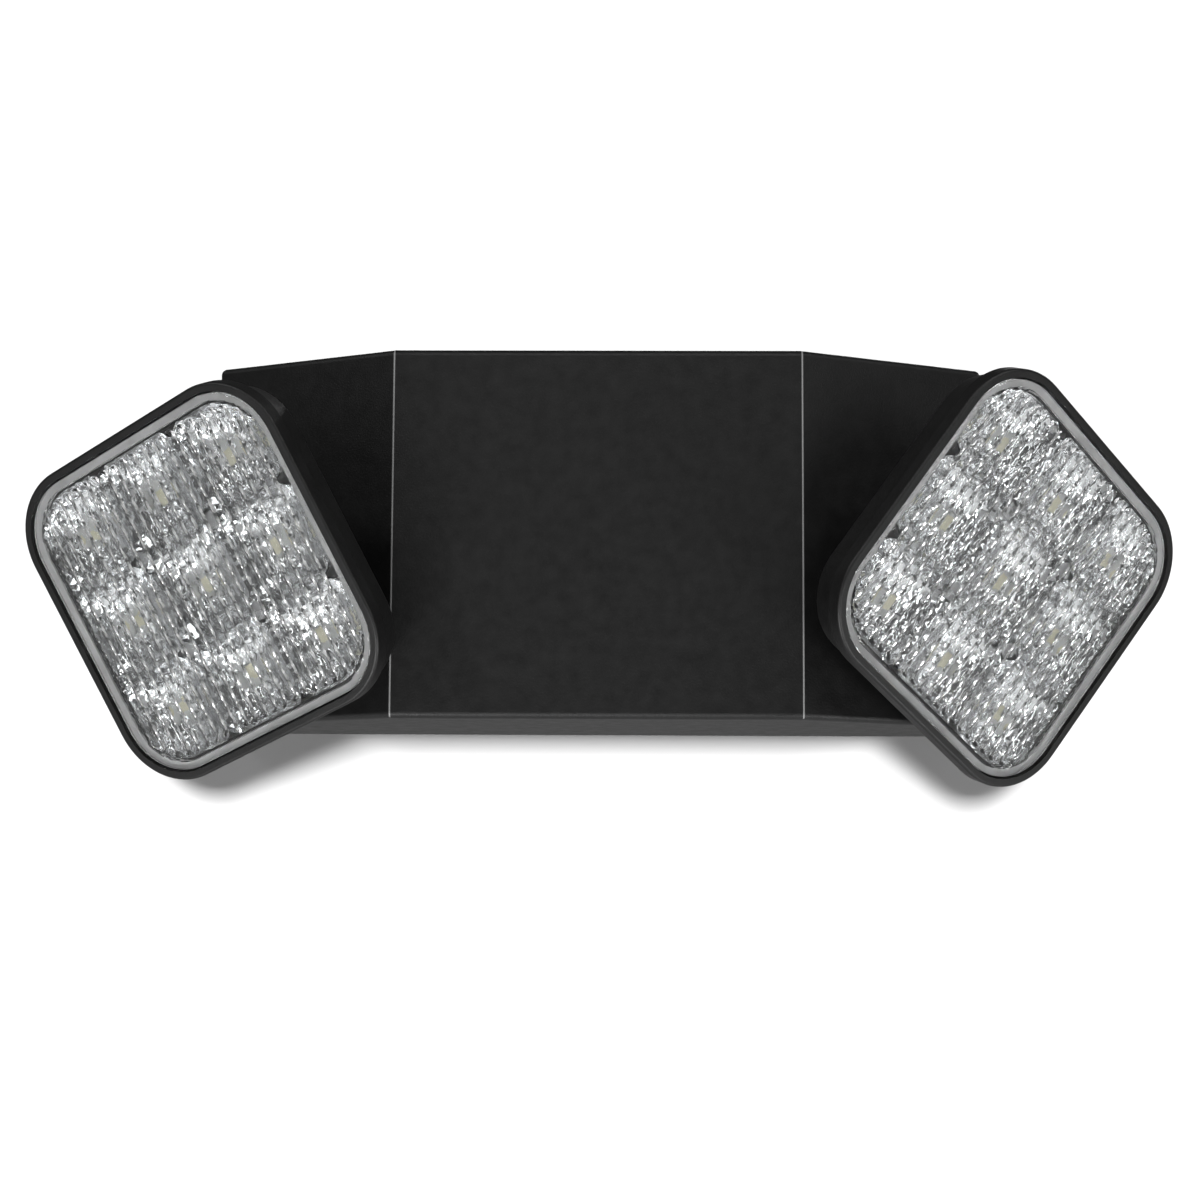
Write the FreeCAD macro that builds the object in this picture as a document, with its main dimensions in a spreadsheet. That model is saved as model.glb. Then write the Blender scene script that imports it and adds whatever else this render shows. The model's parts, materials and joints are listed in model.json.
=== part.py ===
import FreeCAD, Part
import math
import os

import Sketcher

# Twin-head emergency light: a wall-mounted case with two aimable square lamp heads.
#
# Millimetres. X runs along the wall to the right, Y runs into the wall and Z is up. The origin is the
# middle of the back plate's rear face, which lies on the wall, so the case stands out towards -Y.
#
# Every driving size is a cell of the sheet "Sizes". A Dim is a number that also carries the sheet
# formula it came from, so one line both works out a size and binds a feature to it.

Vector = FreeCAD.Vector
Rotation = FreeCAD.Rotation
Placement = FreeCAD.Placement

SIZES = {
    # case
    "panel_width": (97.6, "flat front panel, crease to crease"),
    "case_width": (193.0, "case at the wall"),
    "case_height": (91.6, "case at the wall"),
    "case_depth": (60.0, "wall to front panel"),
    "facet_angle": (30.0, "side facets, degrees back from the panel"),
    "wall_draft": (1.5, "moulding draft of the outer walls, degrees"),
    "wall": (2.2, "moulded wall"),
    "crease_round": (0.6, "rounding of the two creases beside the panel"),
    "edge_round": (1.5, "rounding of the case's outline edges"),
    # back plate
    "plate_thickness": (3.0, "back plate"),
    "plate_gap": (0.3, "back plate to case wall"),
    "plate_corner": (2.0, "back plate corner radius"),
    "wire_hole_radius": (11.0, "wire entry"),
    "box_slot_spacing": (86.1, "junction box slots, middle to middle"),
    "box_slot_radius": (2.4, "half the width of a junction box slot"),
    "box_slot_length": (7.6, "junction box slot, end to end"),
    "keyhole_spacing": (140.0, "keyholes, middle to middle"),
    "keyhole_height": (20.0, "keyholes above the middle"),
    "keyhole_head": (4.2, "keyhole's large radius"),
    "keyhole_neck": (2.1, "keyhole's slot radius"),
    "keyhole_rise": (8.0, "length of the keyhole's slot"),
    "post_spacing": (88.0, "case screw posts, across"),
    "post_inset": (8.6, "case screw posts from the case's top and bottom"),
    "post_radius": (3.5, "case screw post"),
    "screw_radius": (1.25, "small self-tapping screw"),
    "screw_head_radius": (2.4, "small screw's head"),
    "screw_head_height": (1.6, "small screw's head"),
    "screw_gap": (0.05, "radial clearance of a screw in its hole"),
    "screw_bite": (9.0, "case screw's length inside a post"),
    # charger board
    "board_width": (76.0, "charger board, across"),
    "board_height": (52.0, "charger board, up"),
    "board_drop": (3.9, "charger board below the case's inner top"),
    "board_thickness": (1.6, "circuit boards"),
    "board_standoff": (8.0, "back plate to charger board"),
    "board_inset": (5.0, "charger board's screws from its edges"),
    "standoff_radius": (3.0, "charger board stand-off"),
    "board_screw_bite": (6.5, "charger board screw inside its stand-off"),
    # battery
    "cell_radius": (7.25, "one battery cell"),
    "cell_length": (50.0, "one battery cell"),
    "cell_count": (3, "cells side by side"),
    "cell_lift": (16.9, "battery's middle above the case's inner bottom"),
    "sleeve": (0.4, "shrink sleeve"),
    "cradle": (1.5, "battery cradle's sheet"),
    "cradle_gap": (0.2, "battery to cradle"),
    # test button and pilot lamp, on the right end wall
    "button_radius": (3.5, "test button"),
    "button_proud": (1.5, "test button outside the case"),
    "button_travel": (1.0, "test button's press"),
    "button_gap": (0.3, "test button to its hole and its stop"),
    "button_lip": (0.9, "stop flange beyond the test button"),
    "button_depth": (13.0, "test button from the wall"),
    "button_height": (30.0, "test button above the middle"),
    "button_flange": (1.2, "stop flange of the test button"),
    "button_stem": (3.0, "stem behind the stop flange"),
    "button_stem_radius": (2.0, "stem behind the stop flange"),
    "switch_nub": (1.0, "test switch's nub"),
    "switch_nub_radius": (1.6, "test switch's nub"),
    "switch_side": (6.0, "test switch's square body"),
    "switch_depth": (3.5, "test switch's body"),
    "switch_slack": (0.2, "nub to stem with the button pressed"),
    "switch_board_margin": (5.0, "small switch board around what it carries"),
    "arm_thickness": (1.6, "arm that holds the switch board"),
    "pilot_radius": (2.2, "pilot lamp's light pipe"),
    "pilot_drop": (11.0, "pilot lamp below the test button"),
    "pilot_proud": (0.55, "pilot lamp's light pipe outside the case"),
    "pilot_led_radius": (1.5, "pilot lamp's light-emitting diode"),
    "pilot_led_height": (1.2, "pilot lamp's light-emitting diode"),
    # turret
    "turret_margin": (3.5, "turret barrel's side to the case's end at the wall"),
    "turret_height": (-3.5, "pan axis from the middle of the case"),
    "turret_radius": (12.5, "turret barrel"),
    "turret_depth": (13.0, "turret barrel below the facet"),
    "turret_fit": (0.08, "radial running clearance of the barrel in the facet"),
    "flange_lip": (2.5, "turret flange beyond the barrel"),
    "flange_height": (1.2, "turret flange"),
    "washer_height": (0.5, "friction washer"),
    "washer_lift": (0.1, "friction washer above the facet"),
    "nut_lip": (2.8, "turret nut beyond the barrel"),
    "nut_height": (3.0, "turret nut"),
    "joint_gap": (0.3, "gap between faces that slide past each other"),
    "lead_bore": (2.5, "lead hole in the turret"),
    # knuckle
    "pivot_depth": (1.0, "tilt pin below the facet's outer face"),
    "eye_radius": (6.3, "knuckle eye"),
    "eye_width": (8.8, "knuckle eye"),
    "eye_gap": (0.25, "knuckle eye to each turret cheek"),
    "eye_clearance": (1.0, "knuckle eye to the turret's floor and ends"),
    "pin_radius": (1.6, "tilt pins"),
    "pin_fit": (0.05, "radial running clearance of the tilt pins"),
    "pin_reach": (1.9, "tilt pins' inner ends from the middle"),
    "neck_radius": (4.2, "knuckle neck"),
    "shoulder_lip": (3.0, "knuckle shoulder beyond the stud"),
    "shoulder_height": (1.8, "knuckle shoulder"),
    "stud_radius": (4.95, "knuckle stud"),
    "stud_fit": (0.05, "radial running clearance of the stud in the lamp head"),
    "stud_nut_lip": (4.0, "spin nut beyond the stud"),
    "stud_nut_height": (2.0, "spin nut"),
    "knuckle_bore": (1.7, "lead hole in the knuckle"),
    "lead_radius": (1.2, "lamp and battery leads"),
    # lamp head, measured out from the tilt pin along the lamp's own axis
    "face_distance": (34.0, "tilt pin to the front of the rim"),
    "head_side": (80.6, "lamp head across its flats"),
    "head_corner": (17.5, "lamp head's corner radius"),
    "rim_width": (2.0, "rim around the lens"),
    "skirt_depth": (4.0, "straight skirt behind the rim"),
    "tier_step": (0.7, "step in from the skirt to the second tier"),
    "tier_depth": (9.0, "tapered second tier"),
    "tier_taper": (2.0, "second tier narrows by this much a side"),
    "dome_radius": (14.5, "flat at the back of the lamp head"),
    "dome_depth": (7.7, "shallow dome behind the second tier"),
    "rim_round": (0.7, "rounding of the rim's outer edge"),
    "tier_round": (2.4, "rounding at the back of the second tier"),
    "lens_gap": (0.5, "dark groove between rim and lens"),
    "lens_recess": (0.4, "lens below the rim"),
    "lens_thickness": (1.9, "lens"),
    "gasket_height": (0.7, "lens gasket"),
    "gasket_width": (1.8, "lens gasket"),
    "cup_count": (3, "reflector cups a side"),
    "cup_land": (1.6, "reflector's flat land between cups"),
    "cup_throat": (3.2, "reflector cup's throat radius"),
    "reflector_depth": (5.2, "reflector"),
    "spreader": (1.6, "aluminium heat spreader"),
    "spreader_inset": (6.6, "heat spreader's edge in from the reflector's"),
    "room_lift": (0.7, "widest part of the lamp head's room, above the back of the second tier"),
    "emitter_side": (3.4, "light-emitting chip"),
    "emitter_height": (0.8, "light-emitting chip"),
    "layer_gap": (0.1, "between the layers inside a lamp head"),
    # how the heads are aimed at rest, in degrees
    "left_pan": (15.0, "left turret turned anticlockwise in its facet"),
    "left_tilt": (19.5, "left lamp head aimed down"),
    "left_spin": (5.5, "left lamp head turned anticlockwise about its own axis"),
    "right_pan": (5.0, "right turret turned anticlockwise in its facet"),
    "right_tilt": (15.5, "right lamp head aimed down"),
    "right_spin": (-38.5, "right lamp head turned anticlockwise about its own axis"),
}

doc = FreeCAD.newDocument("emergency_light")


# ---------------------------------------------------------------- sizes and formulas

class Dim(float):
    """A number with the sheet formula that gives it."""

    def __new__(cls, number, formula):
        made = float.__new__(cls, number)
        made.formula = formula
        return made

    def __add__(self, other):
        return Dim(float(self) + float(other), f"({self.formula} + {formula_of(other)})")

    def __radd__(self, other):
        return Dim(float(other) + float(self), f"({formula_of(other)} + {self.formula})")

    def __sub__(self, other):
        return Dim(float(self) - float(other), f"({self.formula} - {formula_of(other)})")

    def __rsub__(self, other):
        return Dim(float(other) - float(self), f"({formula_of(other)} - {self.formula})")

    def __mul__(self, other):
        return Dim(float(self) * float(other), f"({self.formula} * {formula_of(other)})")

    def __rmul__(self, other):
        return Dim(float(other) * float(self), f"({formula_of(other)} * {self.formula})")

    def __truediv__(self, other):
        return Dim(float(self) / float(other), f"({self.formula} / {formula_of(other)})")

    def __neg__(self):
        return Dim(-float(self), f"(-1 * {self.formula})")


def formula_of(value):
    """The sheet formula of a Dim, or a plain number's own digits."""
    return value.formula if isinstance(value, Dim) else repr(float(value))


def tan(angle):
    """Tangent of an angle in degrees."""
    return Dim(math.tan(math.radians(angle)), f"tan({formula_of(angle)} * 1 deg)")


def fill_sheet():
    """Writes each size into the sheet and gives its cell the size's name."""
    cells = doc.addObject("Spreadsheet::Sheet", "Sizes")
    for row, (alias, (value, meaning)) in enumerate(SIZES.items(), start=1):
        cells.set(f"A{row}", alias)
        cells.set(f"B{row}", str(value))
        cells.set(f"C{row}", meaning)
        cells.setAlias(f"B{row}", alias)
    doc.recompute()
    return cells


sheet = fill_sheet()


def size(alias):
    """One driving size, read back from the sheet."""
    return Dim(sheet.get(alias), f"Sizes.{alias}")


def bind(target, path, value):
    """Binds one property of a document object to a formula."""
    target.setExpression(path, formula_of(value))


# ---------------------------------------------------------------- features

def box(name, low, lengths):
    """A block from its lowest corner and its three lengths."""
    block = doc.addObject("Part::Box", name)
    for path, value in zip(("Length", "Width", "Height"), lengths):
        bind(block, path, value)
    for path, value in zip("xyz", low):
        bind(block, f"Placement.Base.{path}", value)
    return block


TURNS = {
    "z": Rotation(),
    "-y": Rotation(Vector(1, 0, 0), 90),
    "y": Rotation(Vector(1, 0, 0), -90),
    "x": Rotation(Vector(0, 1, 0), 90),
}


def rod(name, base, direction, radius, length):
    """A cylinder from the middle of its base, along z, y, -y or x."""
    cylinder = doc.addObject("Part::Cylinder", name)
    cylinder.Placement = Placement(Vector(), TURNS[direction])
    bind(cylinder, "Radius", radius)
    bind(cylinder, "Height", length)
    for path, value in zip("xyz", base):
        bind(cylinder, f"Placement.Base.{path}", value)
    return cylinder


def cone(name, base, low_radius, high_radius, length):
    """A cone along z from the middle of its base."""
    made = doc.addObject("Part::Cone", name)
    bind(made, "Radius1", low_radius)
    bind(made, "Radius2", high_radius)
    bind(made, "Height", length)
    for path, value in zip("xyz", base):
        bind(made, f"Placement.Base.{path}", value)
    return made


def fuse(name, shapes):
    """One solid from several that meet."""
    joined = doc.addObject("Part::MultiFuse", name)
    joined.Shapes = shapes
    joined.Refine = True
    return joined


def group(name, shapes):
    """Several separate solids in one sub-part."""
    together = doc.addObject("Part::Compound", name)
    together.Links = shapes
    return together


def cut(name, base, tools):
    """A solid with one or more others taken out of it."""
    tool = tools[0] if len(tools) == 1 else fuse(f"{name}_tools", tools)
    left = doc.addObject("Part::Cut", name)
    left.Base = base
    left.Tool = tool
    left.Refine = True
    return left


def new_body(name):
    return doc.addObject("PartDesign::Body", name)


def new_sketch(body, role, height=0.0):
    """A sketch on one of the body's own planes, lifted along that plane's normal."""
    sketch = body.newObject("Sketcher::SketchObject", f"{body.Name}_sketch")
    plane = next(item for item in body.Origin.OriginFeatures if item.Role == role)
    sketch.AttachmentSupport = [(plane, "")]
    sketch.MapMode = "FlatFace"
    bind(sketch, "AttachmentOffset.Base.z", height)
    return sketch


def fix(sketch, kind, geometry, point, value):
    """Fixes one coordinate of a sketch point, measured from the sketch's origin."""
    number = sketch.addConstraint(Sketcher.Constraint(kind, -1, 1, geometry, point, float(value)))
    bind(sketch, f"Constraints[{number}]", value)


def draw_polygon(sketch, corners):
    """A closed outline of straight lines, each corner fixed by its two coordinates."""
    count = len(corners)
    for index, corner in enumerate(corners):
        following = corners[(index + 1) % count]
        sketch.addGeometry(Part.LineSegment(Vector(*map(float, corner), 0),
                                            Vector(*map(float, following), 0)))
    for index, (across, up) in enumerate(corners):
        sketch.addConstraint(Sketcher.Constraint("Coincident", (index - 1) % count, 2, index, 1))
        fix(sketch, "DistanceX", index, 1, across)
        fix(sketch, "DistanceY", index, 1, up)


def draw_rounded(sketch, half_x, half_y, radius):
    """A rectangle with round corners about the sketch's origin."""
    wide, high, bend = float(half_x), float(half_y), float(radius)
    flat_x, flat_y = wide - bend, high - bend
    runs = [((-flat_x, -high), (flat_x, -high)), ((wide, -flat_y), (wide, flat_y)),
            ((flat_x, high), (-flat_x, high)), ((-wide, flat_y), (-wide, -flat_y))]
    centres = [(flat_x, -flat_y), (flat_x, flat_y), (-flat_x, flat_y), (-flat_x, -flat_y)]
    up = Vector(0, 0, 1)
    for quarter, (run, centre) in enumerate(zip(runs, centres)):
        sketch.addGeometry(Part.LineSegment(Vector(*run[0], 0), Vector(*run[1], 0)))
        circle = Part.Circle(Vector(*centre, 0), up, bend)
        start = (quarter - 1) * math.pi / 2
        sketch.addGeometry(Part.ArcOfCircle(circle, start, start + math.pi / 2))
    for quarter in range(4):
        line, arc, following = 2 * quarter, 2 * quarter + 1, (2 * quarter + 2) % 8
        sketch.addConstraint(Sketcher.Constraint("Tangent", line, 2, arc, 1))
        sketch.addConstraint(Sketcher.Constraint("Tangent", arc, 2, following, 1))
        sketch.addConstraint(Sketcher.Constraint("Vertical" if quarter % 2 else "Horizontal", line))
    for arc in (3, 5, 7):
        sketch.addConstraint(Sketcher.Constraint("Equal", 1, arc))
    number = sketch.addConstraint(Sketcher.Constraint("Radius", 1, bend))
    bind(sketch, f"Constraints[{number}]", radius)
    fix(sketch, "DistanceY", 0, 1, -half_y)
    fix(sketch, "DistanceX", 2, 1, half_x)
    fix(sketch, "DistanceY", 4, 1, half_y)
    fix(sketch, "DistanceX", 6, 1, -half_x)


def pad(body, sketch, length, taper=None):
    feature = body.newObject("PartDesign::Pad", f"{body.Name}_pad")
    feature.Profile = sketch
    bind(feature, "Length", length)
    if taper is not None:
        bind(feature, "TaperAngle", taper)
    sketch.Visibility = False
    return feature


def loft(body, kind, sections):
    """An additive or subtractive loft with straight sides between two rounded squares."""
    sketches = []
    for height, half, radius in sections:
        sketch = new_sketch(body, "XY_Plane", height)
        draw_rounded(sketch, half, half, radius)
        sketches.append(sketch)
    feature = body.newObject(f"PartDesign::{kind}Loft", f"{body.Name}_loft")
    feature.Profile = sketches[0]
    feature.Sections = sketches[1:]
    feature.Ruled = True
    return feature


def round_edges(body, radius, wanted):
    """Rounds the edges of the body's tip that a test picks out."""
    doc.recompute()
    base = body.Tip
    names = [f"Edge{index}" for index, edge in enumerate(base.Shape.Edges, start=1) if wanted(edge)]
    feature = body.newObject("PartDesign::Fillet", f"{body.Name}_round")
    feature.Base = (base, names)
    bind(feature, "Radius", radius)
    return feature


def plate(name, height, half, radius, thickness):
    """A rounded square plate lying flat at a height."""
    body = new_body(name)
    sketch = new_sketch(body, "XY_Plane", height)
    draw_rounded(sketch, half, half, radius)
    pad(body, sketch, thickness)
    return body


nodes = []


def keep(name, feature, placement=None):
    """Makes a finished feature a sub-part: its label is the name of its file."""
    feature.Label = name
    if placement is not None:
        feature.Placement = placement
    nodes.append(feature)


# ---------------------------------------------------------------- shared places

wall = size("wall")
depth = size("case_depth")
plate_front = -size("plate_thickness")
half_width = size("case_width") / 2
half_height = size("case_height") / 2
panel_half = size("panel_width") / 2
screw_hole = size("screw_radius") + size("screw_gap")
post_places = [(across * size("post_spacing") / 2, up * (half_height - size("post_inset")))
               for across in (-1, 1) for up in (-1, 1)]

board_back = plate_front - size("board_standoff")
board_front = board_back - size("board_thickness")
board_high = half_height - wall - size("board_drop")
board_low = board_high - size("board_height")
board_holes = [(across * (size("board_width") / 2 - size("board_inset")), up)
               for across in (-1, 1)
               for up in (board_low + size("board_inset"), board_high - size("board_inset"))]

cell_z = wall - half_height + size("cell_lift")

button_y = -size("button_depth")
button_z = size("button_height")
pilot_z = button_z - size("pilot_drop")
end_wall_outside = half_width - size("button_depth") * tan(size("wall_draft"))
end_wall_inside = end_wall_outside - wall
stem_tip = (end_wall_inside - size("button_gap") - size("button_flange") - size("button_stem"))
nub_tip = stem_tip - size("button_travel") - size("switch_slack")
switch_front = nub_tip - size("switch_nub")
switch_board_front = switch_front - size("switch_depth")
switch_board_back = switch_board_front - size("board_thickness")
switch_board_low = pilot_z - size("switch_board_margin")
switch_board_high = button_z + size("switch_board_margin")
switch_board_edge = button_y - size("switch_board_margin")

turret_x = half_width - size("turret_radius") - size("turret_margin")
turret_y = -depth + (turret_x - panel_half) * tan(size("facet_angle"))

SIDES = {"left": -1, "right": 1}


def facet_frame(side):
    """On the facet's outer face at the pan axis: z points out of the facet and y is up."""
    angle = math.radians(size("facet_angle"))
    sign = SIDES[side]
    across = Vector(math.cos(angle), sign * math.sin(angle), 0)
    outward = Vector(sign * math.sin(angle), -math.cos(angle), 0)
    turn = Rotation(across, Vector(0, 0, 1), outward, "ZXY")
    return Placement(Vector(sign * turret_x, turret_y, size("turret_height")), turn)


def turret_frame(side):
    """The facet's frame turned about the pan axis."""
    turn = Placement(Vector(), Rotation(Vector(0, 0, 1), float(size(f"{side}_pan"))))
    return facet_frame(side).multiply(turn)


def knuckle_frame(side):
    """At the tilt pin: x lies along the pin and z along the lamp's axis."""
    drop = Placement(Vector(0, 0, -size("pivot_depth")),
                     Rotation(Vector(1, 0, 0), float(size(f"{side}_tilt"))))
    return turret_frame(side).multiply(drop)


def head_frame(side):
    """The knuckle's frame turned about the lamp's axis."""
    turn = Placement(Vector(), Rotation(Vector(0, 0, 1), float(size(f"{side}_spin"))))
    return knuckle_frame(side).multiply(turn)


# ---------------------------------------------------------------- case

def case_block(name, inset):
    """The case's outer form, or the same form with every wall moved in by the inset."""
    body = new_body(name)
    outline = new_sketch(body, "XZ_Plane")
    wide, high = half_width - inset, half_height - inset
    draw_polygon(outline, [(-wide, -high), (wide, -high), (wide, high), (-wide, high)])
    front = depth - inset
    pad(body, outline, front, -size("wall_draft"))
    crease = panel_half - inset * tan(size("facet_angle") / 2)
    reach = half_width + wall
    drop = (reach - crease) * tan(size("facet_angle"))
    for sign in (-1, 1):
        corner = new_sketch(body, "XY_Plane")
        points = [(sign * crease, -front), (sign * reach, -front), (sign * reach, drop - front)]
        draw_polygon(corner, points if sign > 0 else points[::-1])
        pocket = body.newObject("PartDesign::Pocket", f"{name}_facet")
        pocket.Profile = corner
        pocket.Type = "ThroughAll"
        pocket.Midplane = True
    return body


def is_crease(edge):
    """The two edges between the front panel and the side facets."""
    ends = [vertex.Point for vertex in edge.Vertexes]
    return len(ends) == 2 and all(
        abs(abs(end.x) - panel_half) < 0.01 and abs(end.y + depth) < 0.01 for end in ends
    ) and abs(ends[0].x - ends[1].x) < 0.01


def is_outline(edge):
    """The edges around the panel, the facets and the end walls, short of the wall side."""
    ends = [vertex.Point for vertex in edge.Vertexes]
    if any(abs(end.z) < size("case_height") / 4 for end in ends):
        return False
    return not all(abs(end.y) < 0.01 for end in ends)


def make_case():
    outer = case_block("case_outer", 0 * wall)
    round_edges(outer, size("crease_round"), is_crease)
    round_edges(outer, size("edge_round"), is_outline)
    inner = case_block("case_inner", wall)
    shell = cut("case_shell", outer, [inner])
    post_front = -(depth - wall / 2)
    post_back = plate_front - size("plate_gap")
    posts = [rod("case_post", (across, post_back, up), "-y", size("post_radius"),
                 post_back - post_front) for across, up in post_places]
    body = fuse("case_with_posts", [shell] + posts)
    holes = [rod("case_pilot_hole", (across, post_back, up), "-y", screw_hole,
                 size("screw_bite") + size("screw_gap")) for across, up in post_places]
    start = end_wall_inside - wall
    holes.append(rod("case_button_hole", (start, button_y, button_z), "x",
                     size("button_radius") + size("button_gap"), 3 * wall))
    holes.append(rod("case_pilot_lamp_hole", (start, button_y, pilot_z), "x",
                     size("pilot_radius") + size("screw_gap"), 3 * wall))
    for side in SIDES:
        bore = doc.addObject("Part::Cylinder", f"case_{side}_bore")
        bind(bore, "Radius", size("turret_radius") + size("turret_fit"))
        bind(bore, "Height", 4 * wall)
        bore.Placement = facet_frame(side).multiply(Placement(Vector(0, 0, -2 * wall), Rotation()))
        holes.append(bore)
    keep("front_housing", cut("front_housing", body, holes))


# ---------------------------------------------------------------- back plate

def slot_tool(name, centre, length, radius, along):
    """A slot through the back plate, lying along x or z, as a block with two round ends."""
    reach = length / 2 - radius
    thick = size("plate_thickness")
    across, up = centre
    if along == "x":
        block = box(name, (across - reach, -thick, up - radius), (2 * reach, thick, 2 * radius))
        ends = [(across - reach, up), (across + reach, up)]
    else:
        block = box(name, (across - radius, -thick, up - reach), (2 * radius, thick, 2 * reach))
        ends = [(across, up - reach), (across, up + reach)]
    return [block] + [rod(name, (x, 0.0, z), "-y", radius, thick) for x, z in ends]


def make_back_plate():
    body = new_body("plate_blank")
    sketch = new_sketch(body, "XZ_Plane")
    draw_rounded(sketch, half_width - wall - size("plate_gap"), half_height - wall - size("plate_gap"),
                 size("plate_corner"))
    thick = size("plate_thickness")
    pad(body, sketch, thick)

    standoffs = [rod("plate_standoff", (across, plate_front, up), "-y", size("standoff_radius"),
                     size("board_standoff")) for across, up in board_holes]
    arm = box("plate_arm",
              (switch_board_back - size("arm_thickness"), switch_board_edge, switch_board_low),
              (size("arm_thickness"), plate_front - switch_board_edge,
               switch_board_high - switch_board_low))
    body = fuse("plate_with_standoffs", [body, arm] + standoffs)

    tools = [rod("plate_wire_hole", (0.0, 0.0, 0.0), "-y",
                 size("wire_hole_radius"), thick)]
    for sign in (-1, 1):
        tools += slot_tool("plate_box_slot", (sign * size("box_slot_spacing") / 2, 0.0),
                           size("box_slot_length"), size("box_slot_radius"), "x")
        key_x = sign * size("keyhole_spacing") / 2
        key_z = size("keyhole_height")
        tools.append(rod("plate_keyhole", (key_x, 0.0, key_z), "-y", size("keyhole_head"),
                         thick))
        tools += slot_tool("plate_key_slot", (key_x, key_z + size("keyhole_rise") / 2),
                           size("keyhole_rise") + 2 * size("keyhole_neck"), size("keyhole_neck"), "z")
    for across, up in post_places:
        tools.append(rod("plate_screw_hole", (across, 0.0, up), "-y", screw_hole, thick))
        tools.append(rod("plate_screw_seat", (across, 0.0, up), "-y",
                         size("screw_head_radius") + size("screw_gap"), size("screw_head_height")))
    tools += [rod("plate_standoff_hole", (across, board_back, up), "y", screw_hole,
                  size("board_screw_bite") + size("screw_gap")) for across, up in board_holes]
    keep("back_plate", cut("back_plate", body, tools))

    screws = []
    for across, up in post_places:
        head = rod("plate_screw_head", (across, 0.0, up), "-y", size("screw_head_radius"),
                   size("screw_head_height"))
        shank = rod("plate_screw_shank", (across, 0.0, up), "-y", size("screw_radius"),
                    thick + size("plate_gap") + size("screw_bite"))
        screws.append(fuse("plate_screw", [head, shank]))
    keep("plate_screws", group("plate_screws", screws))


# ---------------------------------------------------------------- charger board

# What stands on the charger board: these are bought-in parts of fixed size.
CORE_X = -34.0
CORE_RISE = 22.0
CORE_WIDE = 32.0
CORE_HIGH = 27.0
CORE_DEEP = 14.0
CORE_LIFT = 4.0
CORE_LEG = 4.5
COIL_GAP = 0.2
CAN_RADIUS = 5.0
CAN_HEIGHT = 16.0
CAN_RISE = 24.0
TERMINAL_RISE = 8.0
TERMINAL_DEEP = 11.0
CAN_XS = (4.0, 17.0)
TERMINAL_X = -33.0
TERMINAL_WIDE = 22.0
TERMINAL_HIGH = 9.0
TERMINAL_PITCH = 6.5
TERMINAL_WAYS = 3
WAY_RADIUS = 2.0
WAY_DEEP = 8.0
RELAY_X = 6.0
RELAY_RISE = 34.0
RELAY_SIZE = (20.0, 15.5, 15.0)
SINK_X = 28.0
SINK_RISE = 26.0
SINK_HIGH = 18.0
SINK_DEEP = 16.0
SINK_BASE = 1.6
FIN_LONG = 5.0
FIN_THICK = 1.2
FIN_COUNT = 4
FUSE_X = -8.0
FUSE_RISE = 15.0
FUSE_LIFT = 3.0
FUSE_RADIUS = 2.2
FUSE_LONG = 14.0
FUSE_CAP_RADIUS = 2.6
FUSE_CAP_LONG = 4.0
FUSE_CAP_REACH = 1.0
SOCKET_SIDE = 5.0
SOCKET_DEEP = 6.0
SOCKET_RISE = 5.0
SOCKETS = {"left": -24.0, "battery": 8.0, "right": 24.0}


def board_block(name, low_x, rise, wide, high, tall, lift=0.0):
    """A block that stands on the front of the charger board, at a rise above its lower edge."""
    return box(name, (low_x, board_front - lift - tall, board_low + rise), (wide, tall, high))


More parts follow.
